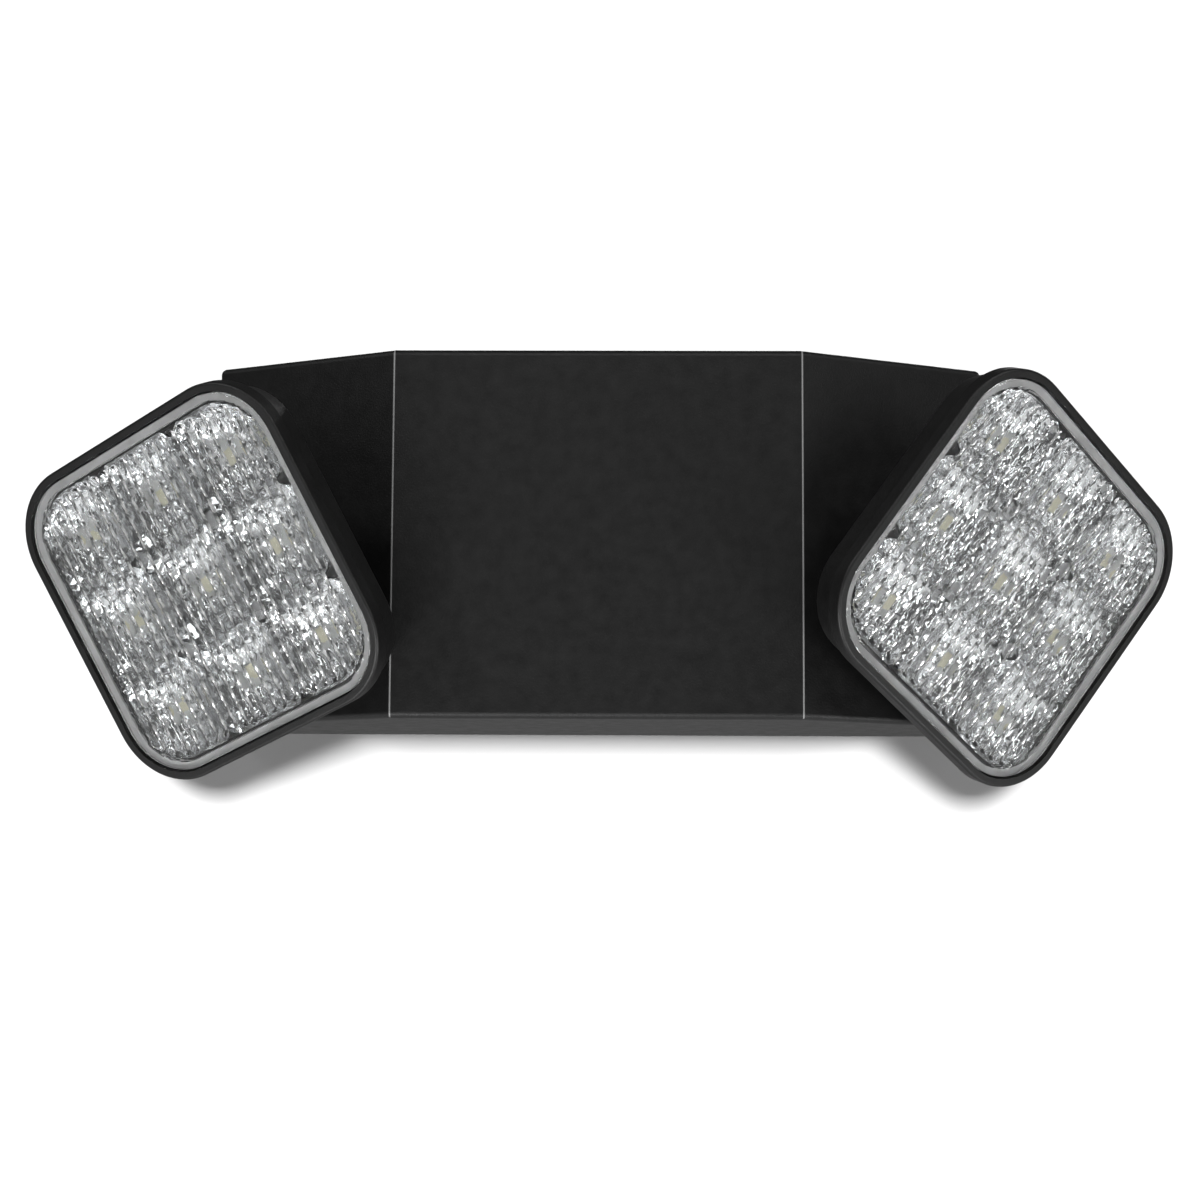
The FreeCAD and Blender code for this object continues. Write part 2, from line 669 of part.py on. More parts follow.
def make_charger_board():
    blank = box("board_blank", (-size("board_width") / 2, board_front, board_low),
                (size("board_width"), size("board_thickness"), size("board_height")))
    holes = [rod("board_hole", (across, board_back, up), "-y", screw_hole, size("board_thickness"))
             for across, up in board_holes]
    keep("charger_board", cut("charger_board", blank, holes))

    screws = []
    for across, up in board_holes:
        head = rod("board_screw_head", (across, board_front, up), "-y", size("screw_head_radius"),
                   size("screw_head_height"))
        shank = rod("board_screw_shank", (across, board_front, up), "y", size("screw_radius"),
                    size("board_thickness") + size("board_screw_bite"))
        screws.append(fuse("board_screw", [head, shank]))
    keep("board_screws", group("board_screws", screws))

    core = board_block("core_block", CORE_X, CORE_RISE, CORE_WIDE, CORE_HIGH, CORE_DEEP, CORE_LIFT)
    window = (CORE_WIDE - 4 * CORE_LEG) / 2
    windows = [board_block("core_window", CORE_X + start, CORE_RISE + CORE_LEG, window,
                           CORE_HIGH - 2 * CORE_LEG, CORE_DEEP, CORE_LIFT)
               for start in (CORE_LEG, CORE_LEG * 3 + window)]
    keep("transformer_core", cut("transformer_core", core, windows))
    coil = board_block("coil_block", CORE_X + CORE_LEG + COIL_GAP, CORE_RISE + CORE_LEG + COIL_GAP,
                       CORE_WIDE - 2 * (CORE_LEG + COIL_GAP), CORE_HIGH - 2 * (CORE_LEG + COIL_GAP),
                       CORE_DEEP + 2 * CORE_LIFT)
    leg = board_block("coil_hole", CORE_X + CORE_LEG + window - COIL_GAP, CORE_RISE,
                      2 * (CORE_LEG + COIL_GAP), CORE_HIGH, CORE_DEEP + 2 * COIL_GAP,
                      CORE_LIFT - COIL_GAP)
    keep("transformer_coil", cut("transformer_coil", coil, [leg]))

    keep("relay", board_block("relay", RELAY_X, RELAY_RISE, *RELAY_SIZE))
    cans = [rod("capacitor", (across, board_front, board_low + CAN_RISE), "-y", CAN_RADIUS,
                CAN_HEIGHT) for across in CAN_XS]
    keep("capacitors", group("capacitors", cans))
    block = board_block("terminal_body", TERMINAL_X, TERMINAL_RISE, TERMINAL_WIDE, TERMINAL_HIGH,
                        TERMINAL_DEEP)
    first_way = TERMINAL_X + (TERMINAL_WIDE - (TERMINAL_WAYS - 1) * TERMINAL_PITCH) / 2
    way_z = board_low + TERMINAL_RISE + TERMINAL_HIGH / 2
    ways = [rod("terminal_way", (first_way + index * TERMINAL_PITCH, board_front - TERMINAL_DEEP, way_z),
                "y", WAY_RADIUS, WAY_DEEP) for index in range(TERMINAL_WAYS)]
    keep("terminal_block", cut("terminal_block", block, ways))
    sink = board_block("sink_base", SINK_X, SINK_RISE, SINK_BASE, SINK_HIGH, SINK_DEEP)
    fin_step = (SINK_HIGH - FIN_THICK) / (FIN_COUNT - 1)
    fins = [board_block("sink_fin", SINK_X + SINK_BASE, SINK_RISE + index * fin_step, FIN_LONG,
                        FIN_THICK, SINK_DEEP) for index in range(FIN_COUNT)]
    keep("regulator_heatsink", fuse("regulator_heatsink", [sink] + fins))
    fuse_at = (board_front - FUSE_LIFT, board_low + FUSE_RISE)
    barrel = rod("fuse_glass", (FUSE_X, *fuse_at), "x", FUSE_RADIUS, FUSE_LONG)
    cap_starts = (FUSE_X - FUSE_CAP_REACH, FUSE_X + FUSE_LONG + FUSE_CAP_REACH - FUSE_CAP_LONG)
    caps = [rod("fuse_cap", (start, *fuse_at), "x", FUSE_CAP_RADIUS, FUSE_CAP_LONG)
            for start in cap_starts]
    keep("fuse", fuse("fuse", [barrel] + caps))
    sockets = [board_block("lead_socket", across - SOCKET_SIDE / 2, SOCKET_RISE - SOCKET_SIDE / 2,
                           SOCKET_SIDE, SOCKET_SIDE, SOCKET_DEEP) for across in SOCKETS.values()]
    keep("lead_sockets", group("lead_sockets", sockets))


# ---------------------------------------------------------------- battery

def draw_stadium(sketch, low, high, middle, radius):
    """Two half circles joined by straight runs, for a flat pack of round cells."""
    up = Vector(0, 0, 1)
    start, end, level, bend = float(low), float(high), float(middle), float(radius)
    quarter = math.pi / 2
    sketch.addGeometry(Part.LineSegment(Vector(start, level - bend, 0), Vector(end, level - bend, 0)))
    sketch.addGeometry(Part.ArcOfCircle(Part.Circle(Vector(end, level, 0), up, bend),
                                        -quarter, quarter))
    sketch.addGeometry(Part.LineSegment(Vector(end, level + bend, 0), Vector(start, level + bend, 0)))
    sketch.addGeometry(Part.ArcOfCircle(Part.Circle(Vector(start, level, 0), up, bend),
                                        quarter, 3 * quarter))
    for here in range(4):
        sketch.addConstraint(Sketcher.Constraint("Tangent", here, 2, (here + 1) % 4, 1))
    number = sketch.addConstraint(Sketcher.Constraint("Radius", 1, bend))
    bind(sketch, f"Constraints[{number}]", radius)
    fix(sketch, "DistanceX", 1, 3, high)
    fix(sketch, "DistanceY", 1, 3, middle)
    fix(sketch, "DistanceX", 3, 3, low)
    fix(sketch, "DistanceY", 3, 3, middle)


def make_battery():
    pitch = 2 * size("cell_radius")
    count = size("cell_count")
    pack_back = plate_front - size("cradle") - size("cradle_gap")
    first = pack_back - size("sleeve") - size("cell_radius")
    left = -size("cell_length") / 2
    middle = cell_z
    cells = [rod("cell", (left, first - index * pitch, middle), "x", size("cell_radius"),
                 size("cell_length")) for index in range(int(count))]
    keep("battery_cells", group("battery_cells", cells))

    skin = size("sleeve")
    last = first - (count - 1) * pitch
    half = size("cell_radius") + skin
    blank = new_body("sleeve_blank")
    sketch = new_sketch(blank, "YZ_Plane", left)
    draw_stadium(sketch, last, first, middle, half)
    pad(blank, sketch, size("cell_length"))
    hollow = new_body("sleeve_hollow")
    sketch = new_sketch(hollow, "YZ_Plane", left)
    draw_stadium(sketch, last, first, middle, size("cell_radius"))
    pad(hollow, sketch, size("cell_length"))
    keep("battery_sleeve", cut("battery_sleeve", blank, [hollow]))

    sheet_thick = size("cradle")
    gap = size("cradle_gap")
    high = 2 * (half + gap + sheet_thick)
    low = middle - high / 2
    reach = size("cell_length") / 2 + gap
    deep = count * pitch + 2 * (skin + gap)
    outer = box("cradle_block", (-reach - sheet_thick, plate_front - sheet_thick - deep / 2, low),
                (2 * (reach + sheet_thick), sheet_thick + deep / 2, high))
    room = box("cradle_room", (-reach, plate_front - sheet_thick - deep / 2, low + sheet_thick),
               (2 * reach, deep / 2, high - 2 * sheet_thick))
    keep("battery_cradle", cut("battery_cradle", outer, [room]))


# ---------------------------------------------------------------- test button and pilot lamp

def make_test_button():
    flange_x = stem_tip + size("button_stem")
    cap_x = flange_x + size("button_flange")
    cap = rod("button_cap", (cap_x, button_y, button_z), "x", size("button_radius"),
              end_wall_outside + size("button_proud") - cap_x)
    flange = rod("button_flange", (flange_x, button_y, button_z), "x",
                 size("button_radius") + size("button_lip"), size("button_flange"))
    stem = rod("button_stem", (stem_tip, button_y, button_z), "x", size("button_stem_radius"),
               size("button_stem"))
    keep("test_button", fuse("test_button", [cap, flange, stem]))

    side = size("switch_side")
    body = box("switch_body", (switch_board_front, button_y - side / 2, button_z - side / 2),
               (size("switch_depth"), side, side))
    nub = rod("switch_nub", (switch_front, button_y, button_z), "x", size("switch_nub_radius"),
              size("switch_nub"))
    keep("test_switch", fuse("test_switch", [body, nub]))
    keep("switch_board", box("switch_board", (switch_board_back, switch_board_edge, switch_board_low),
                             (size("board_thickness"), 2 * size("switch_board_margin"),
                              switch_board_high - switch_board_low)))
    keep("pilot_led", rod("pilot_led", (switch_board_front, button_y, pilot_z), "x",
                          size("pilot_led_radius"), size("pilot_led_height")))
    pipe_x = switch_board_front + size("pilot_led_height") + size("switch_slack")
    keep("pilot_lens", rod("pilot_lens", (pipe_x, button_y, pilot_z), "x", size("pilot_radius"),
                           end_wall_outside + size("pilot_proud") - pipe_x))


# ---------------------------------------------------------------- turret, knuckle and lamp head

def make_turret(side):
    place = turret_frame(side)
    flange_low = size("washer_lift") + size("washer_height")
    flange_high = flange_low + size("flange_height")
    barrel = rod("turret_barrel", (0.0, 0.0, -size("turret_depth")), "z", size("turret_radius"),
                 size("turret_depth") + flange_low)
    flange_radius = size("turret_radius") + size("flange_lip")
    flange = rod("turret_flange", (0.0, 0.0, flange_low), "z", flange_radius,
                 size("flange_height"))
    slot_half = size("eye_width") / 2 + size("eye_gap")
    slot_long = size("eye_radius") + size("eye_clearance")
    floor = -size("pivot_depth") - slot_long
    slot = box("turret_slot", (-slot_half, -slot_long, floor),
               (2 * slot_half, 2 * slot_long, flange_high - floor))
    pin_hole = rod("turret_pin_hole", (-size("turret_radius"), 0.0, -size("pivot_depth")), "x",
                   size("pin_radius"), 2 * size("turret_radius"))
    lead_hole = rod("turret_lead_hole", (0.0, 0.0, -size("turret_depth")), "z", size("lead_bore"),
                    size("turret_depth"))
    body = fuse("turret_body", [barrel, flange])
    keep(f"{side}_turret", cut(f"{side}_turret", body, [slot, pin_hole, lead_hole]), place)

    ring = rod("washer_ring", (0.0, 0.0, size("washer_lift")), "z",
               flange_radius - size("washer_lift"), size("washer_height"))
    hole = rod("washer_hole", (0.0, 0.0, size("washer_lift")), "z",
               size("turret_radius") + size("washer_lift"), size("washer_height"))
    keep(f"{side}_friction_washer", cut(f"{side}_friction_washer", ring, [hole]), place)

    nut_low = -wall - size("joint_gap") - size("nut_height")
    ring = rod("nut_ring", (0.0, 0.0, nut_low), "z", size("turret_radius") + size("nut_lip"),
               size("nut_height"))
    hole = rod("nut_hole", (0.0, 0.0, nut_low), "z", size("turret_radius"), size("nut_height"))
    keep(f"{side}_turret_nut", cut(f"{side}_turret_nut", ring, [hole]), place)

    length = size("turret_radius") - size("joint_gap") - size("pin_reach")
    starts = (size("pin_reach"), -size("pin_reach") - length)
    pins = [rod("tilt_pin", (start, 0.0, -size("pivot_depth")), "x", size("pin_radius"), length)
            for start in starts]
    keep(f"{side}_tilt_pins", group(f"{side}_tilt_pins", pins), place)


head_back = size("face_distance") - size("skirt_depth") - size("tier_depth") - size("dome_depth")
head_floor = head_back + wall
shoulder_top = head_back - size("joint_gap")
stud_nut_low = head_floor + size("joint_gap")
stud_top = stud_nut_low + size("stud_nut_height") + size("joint_gap")


def make_knuckle(side):
    place = knuckle_frame(side)
    half = size("eye_width") / 2
    shoulder_low = shoulder_top - size("shoulder_height")
    eye = rod("knuckle_eye", (-half, 0.0, 0.0), "x", size("eye_radius"), size("eye_width"))
    neck = rod("knuckle_neck", (0.0, 0.0, 0.0), "z", size("neck_radius"), shoulder_low)
    shoulder = rod("knuckle_shoulder", (0.0, 0.0, shoulder_low), "z",
                   size("stud_radius") + size("shoulder_lip"), size("shoulder_height"))
    stud = rod("knuckle_stud", (0.0, 0.0, shoulder_top), "z", size("stud_radius"),
               stud_top - shoulder_top)
    bore = rod("knuckle_bore", (0.0, 0.0, -size("eye_radius")), "z", size("knuckle_bore"),
               stud_top + size("eye_radius"))
    pin_hole = rod("knuckle_pin_hole", (-half, 0.0, 0.0), "x", size("pin_radius") + size("pin_fit"),
                   size("eye_width"))
    body = fuse("knuckle_body", [eye, neck, shoulder, stud])
    keep(f"{side}_knuckle", cut(f"{side}_knuckle", body, [bore, pin_hole]), place)

    ring = rod("spin_nut_ring", (0.0, 0.0, stud_nut_low), "z",
               size("stud_radius") + size("stud_nut_lip"), size("stud_nut_height"))
    hole = rod("spin_nut_hole", (0.0, 0.0, stud_nut_low), "z", size("stud_radius"),
               size("stud_nut_height"))
    keep(f"{side}_spin_nut", cut(f"{side}_spin_nut", ring, [hole]), place)
    start = size("lead_radius") - size("eye_radius")
    lead = rod("knuckle_lead", (0.0, 0.0, start), "z", size("lead_radius"), stud_top - start)
    keep(f"{side}_knuckle_lead", group(f"{side}_knuckle_lead", [lead]), place)


half_head = size("head_side") / 2
skirt_back = size("face_distance") - size("skirt_depth")
tier_back = skirt_back - size("tier_depth")
lens_half = half_head - size("rim_width") - size("lens_gap")
lens_corner = size("head_corner") - size("rim_width") - size("lens_gap")
lens_front = size("face_distance") - size("lens_recess")
lens_back = lens_front - size("lens_thickness")
lens_seat = lens_back - size("gasket_height")


def tier_half(height):
    """Half the width of the second tier's outside at a height."""
    step = half_head - size("tier_step")
    return step - size("tier_taper") * (skirt_back - height) / size("tier_depth")


def tier_corner(height):
    return size("head_corner") - (half_head - tier_half(height))


def is_rim_edge(edge):
    return all(abs(vertex.Point.z - size("face_distance")) < 0.01 for vertex in edge.Vertexes)


def is_tier_edge(edge):
    return all(abs(vertex.Point.z - tier_back) < 0.01 for vertex in edge.Vertexes)


# A rounded square whose corners take this much of its half width is all but a circle.
NEARLY_ROUND = 0.99


def make_head_shell(side):
    body = new_body(f"{side}_shell_body")
    round_back = size("dome_radius") * NEARLY_ROUND
    loft(body, "Additive", [(head_back, size("dome_radius"), round_back),
                            (tier_back, tier_half(tier_back), tier_corner(tier_back))])
    loft(body, "Additive", [(tier_back, tier_half(tier_back), tier_corner(tier_back)),
                            (skirt_back, tier_half(skirt_back), tier_corner(skirt_back))])
    skirt = new_sketch(body, "XY_Plane", skirt_back)
    draw_rounded(skirt, half_head, half_head, size("head_corner"))
    pad(body, skirt, size("skirt_depth"))
    round_edges(body, size("rim_round"), is_rim_edge)
    round_edges(body, size("tier_round"), is_tier_edge)

    floor_half = size("dome_radius") - wall
    room_low = tier_back + size("room_lift")
    loft(body, "Subtractive", [(head_floor, floor_half, floor_half * NEARLY_ROUND),
                               (room_low, tier_half(tier_back) - wall, tier_corner(tier_back) - wall)])
    loft(body, "Subtractive", [(room_low, tier_half(tier_back) - wall, tier_corner(tier_back) - wall),
                               (lens_seat, tier_half(skirt_back) - wall, tier_corner(skirt_back) - wall)])
    seat = new_sketch(body, "XY_Plane", lens_seat)
    draw_rounded(seat, half_head - size("rim_width"), half_head - size("rim_width"),
                 size("head_corner") - size("rim_width"))
    pocket = body.newObject("PartDesign::Pocket", f"{side}_lens_seat")
    pocket.Profile = seat
    pocket.Reversed = True
    bind(pocket, "Length", size("face_distance") - lens_seat)
    hole = rod("stud_hole", (0.0, 0.0, head_back), "z", size("stud_radius") + size("stud_fit"), wall)
    keep(f"{side}_head_shell", cut(f"{side}_head_shell_bored", body, [hole]), head_frame(side))


inner_half = tier_half(tier_back) - wall - size("layer_gap")
inner_corner = tier_corner(tier_back) - wall - size("layer_gap")
cup_pitch = (2 * inner_half - size("cup_land")) / size("cup_count")
cup_mouth = (cup_pitch - size("cup_land")) / 2


def cup_places():
    """Middles of the reflector's cups, row by row."""
    count = int(size("cup_count"))
    steps = [cup_pitch * (index - (count - 1) / 2) for index in range(count)]
    return [(across, up) for across in steps for up in steps]


def make_lamp(side):
    place = head_frame(side)
    keep(f"{side}_lens", plate(f"{side}_lens_plate", lens_back, lens_half, lens_corner,
                               size("lens_thickness")), place)
    ring = plate("gasket_blank", lens_seat, lens_half, lens_corner, size("gasket_height"))
    inside = plate("gasket_room", lens_seat, lens_half - size("gasket_width"),
                   lens_corner - size("gasket_width"), size("gasket_height"))
    keep(f"{side}_lens_gasket", cut(f"{side}_lens_gasket", ring, [inside]), place)

    layer = size("layer_gap")
    reflector_top = lens_seat - 3 * layer
    reflector_low = reflector_top - size("reflector_depth")
    board_top = reflector_low - layer
    board_low_z = board_top - size("board_thickness")
    spreader_low = board_low_z - layer - size("spreader")
    screw_at = cup_pitch / 2
    screw_places = [(across * screw_at, up * screw_at) for across in (-1, 1) for up in (-1, 1)]
    seat_low = reflector_top - layer - size("screw_head_height")

    def through(height, length):
        return [rod("lamp_screw_hole", (across, up, height), "z", screw_hole, length)
                for across, up in screw_places]

    blank = plate("reflector_blank", reflector_low, inner_half, inner_corner,
                  size("reflector_depth"))
    cups = [cone("reflector_cup", (across, up, reflector_low), size("cup_throat"),
                 cup_mouth, size("reflector_depth")) for across, up in cup_places()]
    seats = [rod("reflector_seat", (across, up, seat_low), "z",
                 size("screw_head_radius") + size("screw_gap"), reflector_top - seat_low)
             for across, up in screw_places]
    keep(f"{side}_reflector", cut(f"{side}_reflector", blank, cups + seats
                                  + through(reflector_low, size("reflector_depth"))), place)

    board = plate("led_board_blank", board_low_z, inner_half - layer, inner_corner - layer,
                  size("board_thickness"))
    keep(f"{side}_led_board", cut(f"{side}_led_board", board,
                                  through(board_low_z, size("board_thickness"))), place)
    chip = size("emitter_side")
    chips = [box("emitter", (across - chip / 2, up - chip / 2, board_top),
                 (chip, chip, size("emitter_height"))) for across, up in cup_places()]
    keep(f"{side}_led_emitters", group(f"{side}_led_emitters", chips), place)

    metal = plate("spreader_blank", spreader_low, inner_half - size("spreader_inset"),
                  inner_corner - wall, size("spreader"))
    centre = rod("spreader_hole", (0.0, 0.0, spreader_low), "z", size("stud_radius"),
                 size("spreader"))
    keep(f"{side}_heat_spreader", cut(f"{side}_heat_spreader", metal,
                                      through(spreader_low, size("spreader")) + [centre]), place)
    screws = []
    for across, up in screw_places:
        head = rod("lamp_screw_head", (across, up, seat_low), "z", size("screw_head_radius"),
                   size("screw_head_height"))
        shank = rod("lamp_screw_shank", (across, up, spreader_low), "z", size("screw_radius"),
                    seat_low - spreader_low)
        screws.append(fuse("lamp_screw", [head, shank]))
    keep(f"{side}_lamp_screws", group(f"{side}_lamp_screws", screws), place)


# ---------------------------------------------------------------- leads inside the case

ARC_SHARE = 0.45


def lead_solid(name, points):
    """A round lead along straight runs joined by tangent arcs."""
    radius = float(size("lead_radius"))
    edges = []
    start = points[0]
    for before, corner, after in zip(points, points[1:], points[2:]):
        come = before - corner
        leave = after - corner
        turn = math.pi - come.getAngle(leave)
        back = ARC_SHARE * min(come.Length, leave.Length)
        come.normalize()
        leave.normalize()
        bend = back / math.tan(turn / 2)
        toward = (come + leave).normalize()
        middle = corner + toward * (bend / math.cos(turn / 2) - bend)
        edges.append(Part.LineSegment(start, corner + come * back).toShape())
        edges.append(Part.Arc(corner + come * back, middle, corner + leave * back).toShape())
        start = corner + leave * back
    edges.append(Part.LineSegment(start, points[-1]).toShape())
    wire = Part.Wire(edges)
    first = (points[1] - points[0]).normalize()
    circle = Part.Wire(Part.Circle(points[0], first, radius).toShape())
    shape = wire.makePipeShell([circle], True, False)
    feature = doc.addObject("Part::Feature", name)
    feature.Shape = shape
    keep(name, feature)
    expected = math.pi * radius ** 2 * wire.Length
    print(name, "length", round(wire.Length, 1), "volume over section times length",
          round(shape.Volume / expected, 4))


# Where a lamp lead bends on its way from its socket to its turret, and the battery lead to its cells.
LEAD_OUT = 6.0
LAMP_LEAD_TURN = Vector(14.0, -9.0, 1.0)
TURRET_ROOM = 9.0
TURRET_APPROACH = Vector(10.0, 1.0, 0.5)
BATTERY_LEAD_OUT = 5.0
BATTERY_LEAD_TURN = Vector(3.0, -12.0, -3.0)
BATTERY_LEAD_END = Vector(12.0, -14.0, 0.0)
BATTERY_LEAD_LIFT = 0.5


def mirrored(vector, sign):
    """The same step, taken towards the side whose sign is given."""
    return Vector(sign * vector.x, vector.y, vector.z)


def make_leads():
    exit_y = board_front - SOCKET_DEEP
    socket_z = board_low + SOCKET_RISE
    tip = size("pivot_depth") + size("eye_radius") + size("eye_clearance") + size("joint_gap")
    for side, sign in SIDES.items():
        facet = facet_frame(side)
        end = facet.multVec(Vector(0, 0, -tip))
        entry = facet.multVec(Vector(0, 0, -size("turret_depth") - TURRET_ROOM))
        start = Vector(SOCKETS[side], exit_y, socket_z)
        lead_solid(f"{side}_lamp_lead", [
            start, start - Vector(0, LEAD_OUT, 0), start + mirrored(LAMP_LEAD_TURN, sign),
            entry + mirrored(TURRET_APPROACH, -sign), entry, end])
    start = Vector(SOCKETS["battery"], exit_y, socket_z)
    end = start + BATTERY_LEAD_END
    end.z = cell_z + size("cell_radius") + size("sleeve") + size("lead_radius") + BATTERY_LEAD_LIFT
    lead_solid("battery_lead",
               [start, start - Vector(0, BATTERY_LEAD_OUT, 0), start + BATTERY_LEAD_TURN, end])


# ---------------------------------------------------------------- build, check and write

make_case()
make_back_plate()
make_charger_board()
make_battery()
make_test_button()
for side_name in SIDES:
    make_turret(side_name)
    make_knuckle(side_name)
    make_head_shell(side_name)
    make_lamp(side_name)
make_leads()
doc.recompute()

failed = [item.Name for item in doc.Objects if {"Invalid", "Error"} & set(item.State)]
if failed:
    raise SystemExit(f"features that failed: {failed}")
bad = [node.Label for node in nodes if node.Shape.isNull() or not node.Shape.isValid()]
if bad:
    raise SystemExit(f"sub-parts with no valid shape: {bad}")

os.makedirs("parts", exist_ok=True)
for node in nodes:
    node.Shape.exportStep(f"parts/{node.Label}.step")
    solids = node.Shape.Solids
    print(f"{node.Label}: {len(solids)} solid(s), {sum(item.Volume for item in solids):.1f} mm3")
print(len(nodes), "sub-parts")
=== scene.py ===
# %% [markdown]
# # A twin-head emergency light, dressed in Blender
#
# The light is a black moulded case on a wall, with two square lamp heads that swivel. Its parts were
# measured and packed beforehand, so this lesson never moves or resizes them. It gives each one a finish,
# and it remakes the two things that a plain solid can't show: the fluted clear lenses and the mirror cups
# behind them. All lengths are metres.

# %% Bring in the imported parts
import json
import math
import random

import bmesh
import bpy
from mathutils import Matrix, Vector


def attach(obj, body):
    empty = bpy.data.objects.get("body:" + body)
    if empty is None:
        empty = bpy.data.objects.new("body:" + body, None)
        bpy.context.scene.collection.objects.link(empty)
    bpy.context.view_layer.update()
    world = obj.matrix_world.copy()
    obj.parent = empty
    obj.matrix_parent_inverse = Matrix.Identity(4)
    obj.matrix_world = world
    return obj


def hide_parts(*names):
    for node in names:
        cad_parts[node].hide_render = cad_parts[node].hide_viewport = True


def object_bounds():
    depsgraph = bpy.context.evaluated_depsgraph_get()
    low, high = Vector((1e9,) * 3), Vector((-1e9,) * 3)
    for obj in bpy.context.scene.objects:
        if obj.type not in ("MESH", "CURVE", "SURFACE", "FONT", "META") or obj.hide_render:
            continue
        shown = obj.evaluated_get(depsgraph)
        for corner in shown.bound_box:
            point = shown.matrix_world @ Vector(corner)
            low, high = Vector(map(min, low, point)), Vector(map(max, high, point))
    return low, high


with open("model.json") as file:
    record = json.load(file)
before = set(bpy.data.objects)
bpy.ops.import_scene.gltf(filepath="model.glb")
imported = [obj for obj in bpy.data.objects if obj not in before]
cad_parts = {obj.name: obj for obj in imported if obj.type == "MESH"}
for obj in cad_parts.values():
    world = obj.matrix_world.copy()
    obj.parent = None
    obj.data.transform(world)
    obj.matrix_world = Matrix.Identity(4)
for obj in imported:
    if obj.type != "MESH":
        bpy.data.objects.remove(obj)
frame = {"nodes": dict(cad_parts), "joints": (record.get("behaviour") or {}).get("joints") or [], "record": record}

CAD_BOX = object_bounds()
MM = 0.001
SIDES = ("left", "right")
print("box in mm:", [round(length / MM, 1) for length in CAD_BOX[1] - CAD_BOX[0]])

# %% [markdown]
# ## Where a lamp head is
#
# Each head was packed already tilted and turned, so its lens doesn't line up with X, Y and Z. The joints
# say how: the spin joint's axis points straight out of the lens, and the tilt joint's axis lies across it.
# The spin joint reaches a quarter turn either side of an upright head, so the middle of its range, with its
# sign changed, is how far the head is turned now. From these comes a matrix that takes a point on an
# upright head at the origin to its place on the real one.

# %% A lamp head's own frame
joints = {joint["name"]: joint for joint in frame["joints"]}


def head_frame(side):
    """Upright lamp head to row frame: x across, y up the flutes, z out of the lens."""
    spin, tilt = joints[f"{side}_spin"], joints[f"{side}_tilt"]
    outward = Vector(spin["axis"]).normalized()
    turned = -math.radians(sum(spin["range_deg"]) / 2)
    across = Matrix.Rotation(turned, 3, outward) @ Vector(tilt["axis"]).normalized()
    axes = Matrix((across, outward.cross(across), outward)).transposed()
    return Matrix.Translation(spin["pos_m"]) @ axes.to_4x4()


def local_box(piece, to_row):
    """Lowest and highest corner of a piece in a head's own frame."""
    back = to_row.inverted()
    points = [back @ vertex.co for vertex in piece.data.vertices]
    return [Vector(pick(point[axis] for point in points) for axis in range(3)) for pick in (min, max)]


HEADS = {side: head_frame(side) for side in SIDES}
for side in SIDES:
    low, high = local_box(frame["nodes"][f"{side}_lens"], HEADS[side])
    print(side, "lens in its own frame, mm:", [round(value / MM, 2) for value in (*low, *high)])

# %% [markdown]
# ## The fluted lenses
#
# A lens like this is moulded in clear plastic, smooth outside and fluted inside. Each flute runs up the
# lamp head and ends in a round tip, like a finger, a little short of the edge, where a plain band rests on
# the gasket. Small pillows lie along each flute, so a light behind it is spread both ways. A bump texture
# would be quicker, but it can't bend what is seen through the lens. So the inside face is a fine grid of
# real points, and the glass shader does the rest.

# %% The rounded square that everything in a head follows
def reach(across, half, corner):
    """How far up a rounded square goes at a distance across."""
    past = max(0.0, abs(across) - (half - corner))
    return half - corner + math.sqrt(max(0.0, corner ** 2 - past ** 2))


def inset(across, up, half, corner):
    """How far inside the edge of a rounded square a point lies."""
    right, above = abs(across) - (half - corner), abs(up) - (half - corner)
    return corner - math.hypot(max(right, 0.0), max(above, 0.0)) - min(max(right, above), 0.0)


def measure_square(node, to_row):
    """Half width, corner radius, and lowest and highest z of a rounded plate in its head's frame."""
    back = to_row.inverted()
    points = [back @ vertex.co for vertex in frame["nodes"][node].data.vertices]
    half = max(point.x for point in points)
    diagonal = max(point.x + point.y for point in points)
    corner = (2 * half - diagonal) / (2 - math.sqrt(2))
    return half, corner, min(point.z for point in points), max(point.z for point in points)


def smooth_step(share):
    """An even ramp from 0 to 1 with both ends eased."""
    share = min(1.0, max(0.0, share))
    return share * share * (3 - 2 * share)


for side in SIDES:
    print(side, "lens half width, corner, back, front, mm:",
          [round(value / MM, 2) for value in measure_square(f"{side}_lens", HEADS[side])])

# %% The relief inside a lens
FLUTE_PITCH = 3.2 * MM
FLUTE_RISE = 1.0 * MM
FLUTE_FLOOR = 0.95 * MM
TIP_INSET = 3.3 * MM
BAND = 1.7 * MM
BAND_SLOPE = 0.7 * MM
PILLOW_PITCH = 4.6 * MM
PILLOW_RISE = 0.12 * MM
DIMPLE_PITCH = 1.9 * MM
DIMPLE_RISE = 0.09 * MM
DIMPLE_SHIFT = 2.3
PILLOW_SPREAD = 1.6


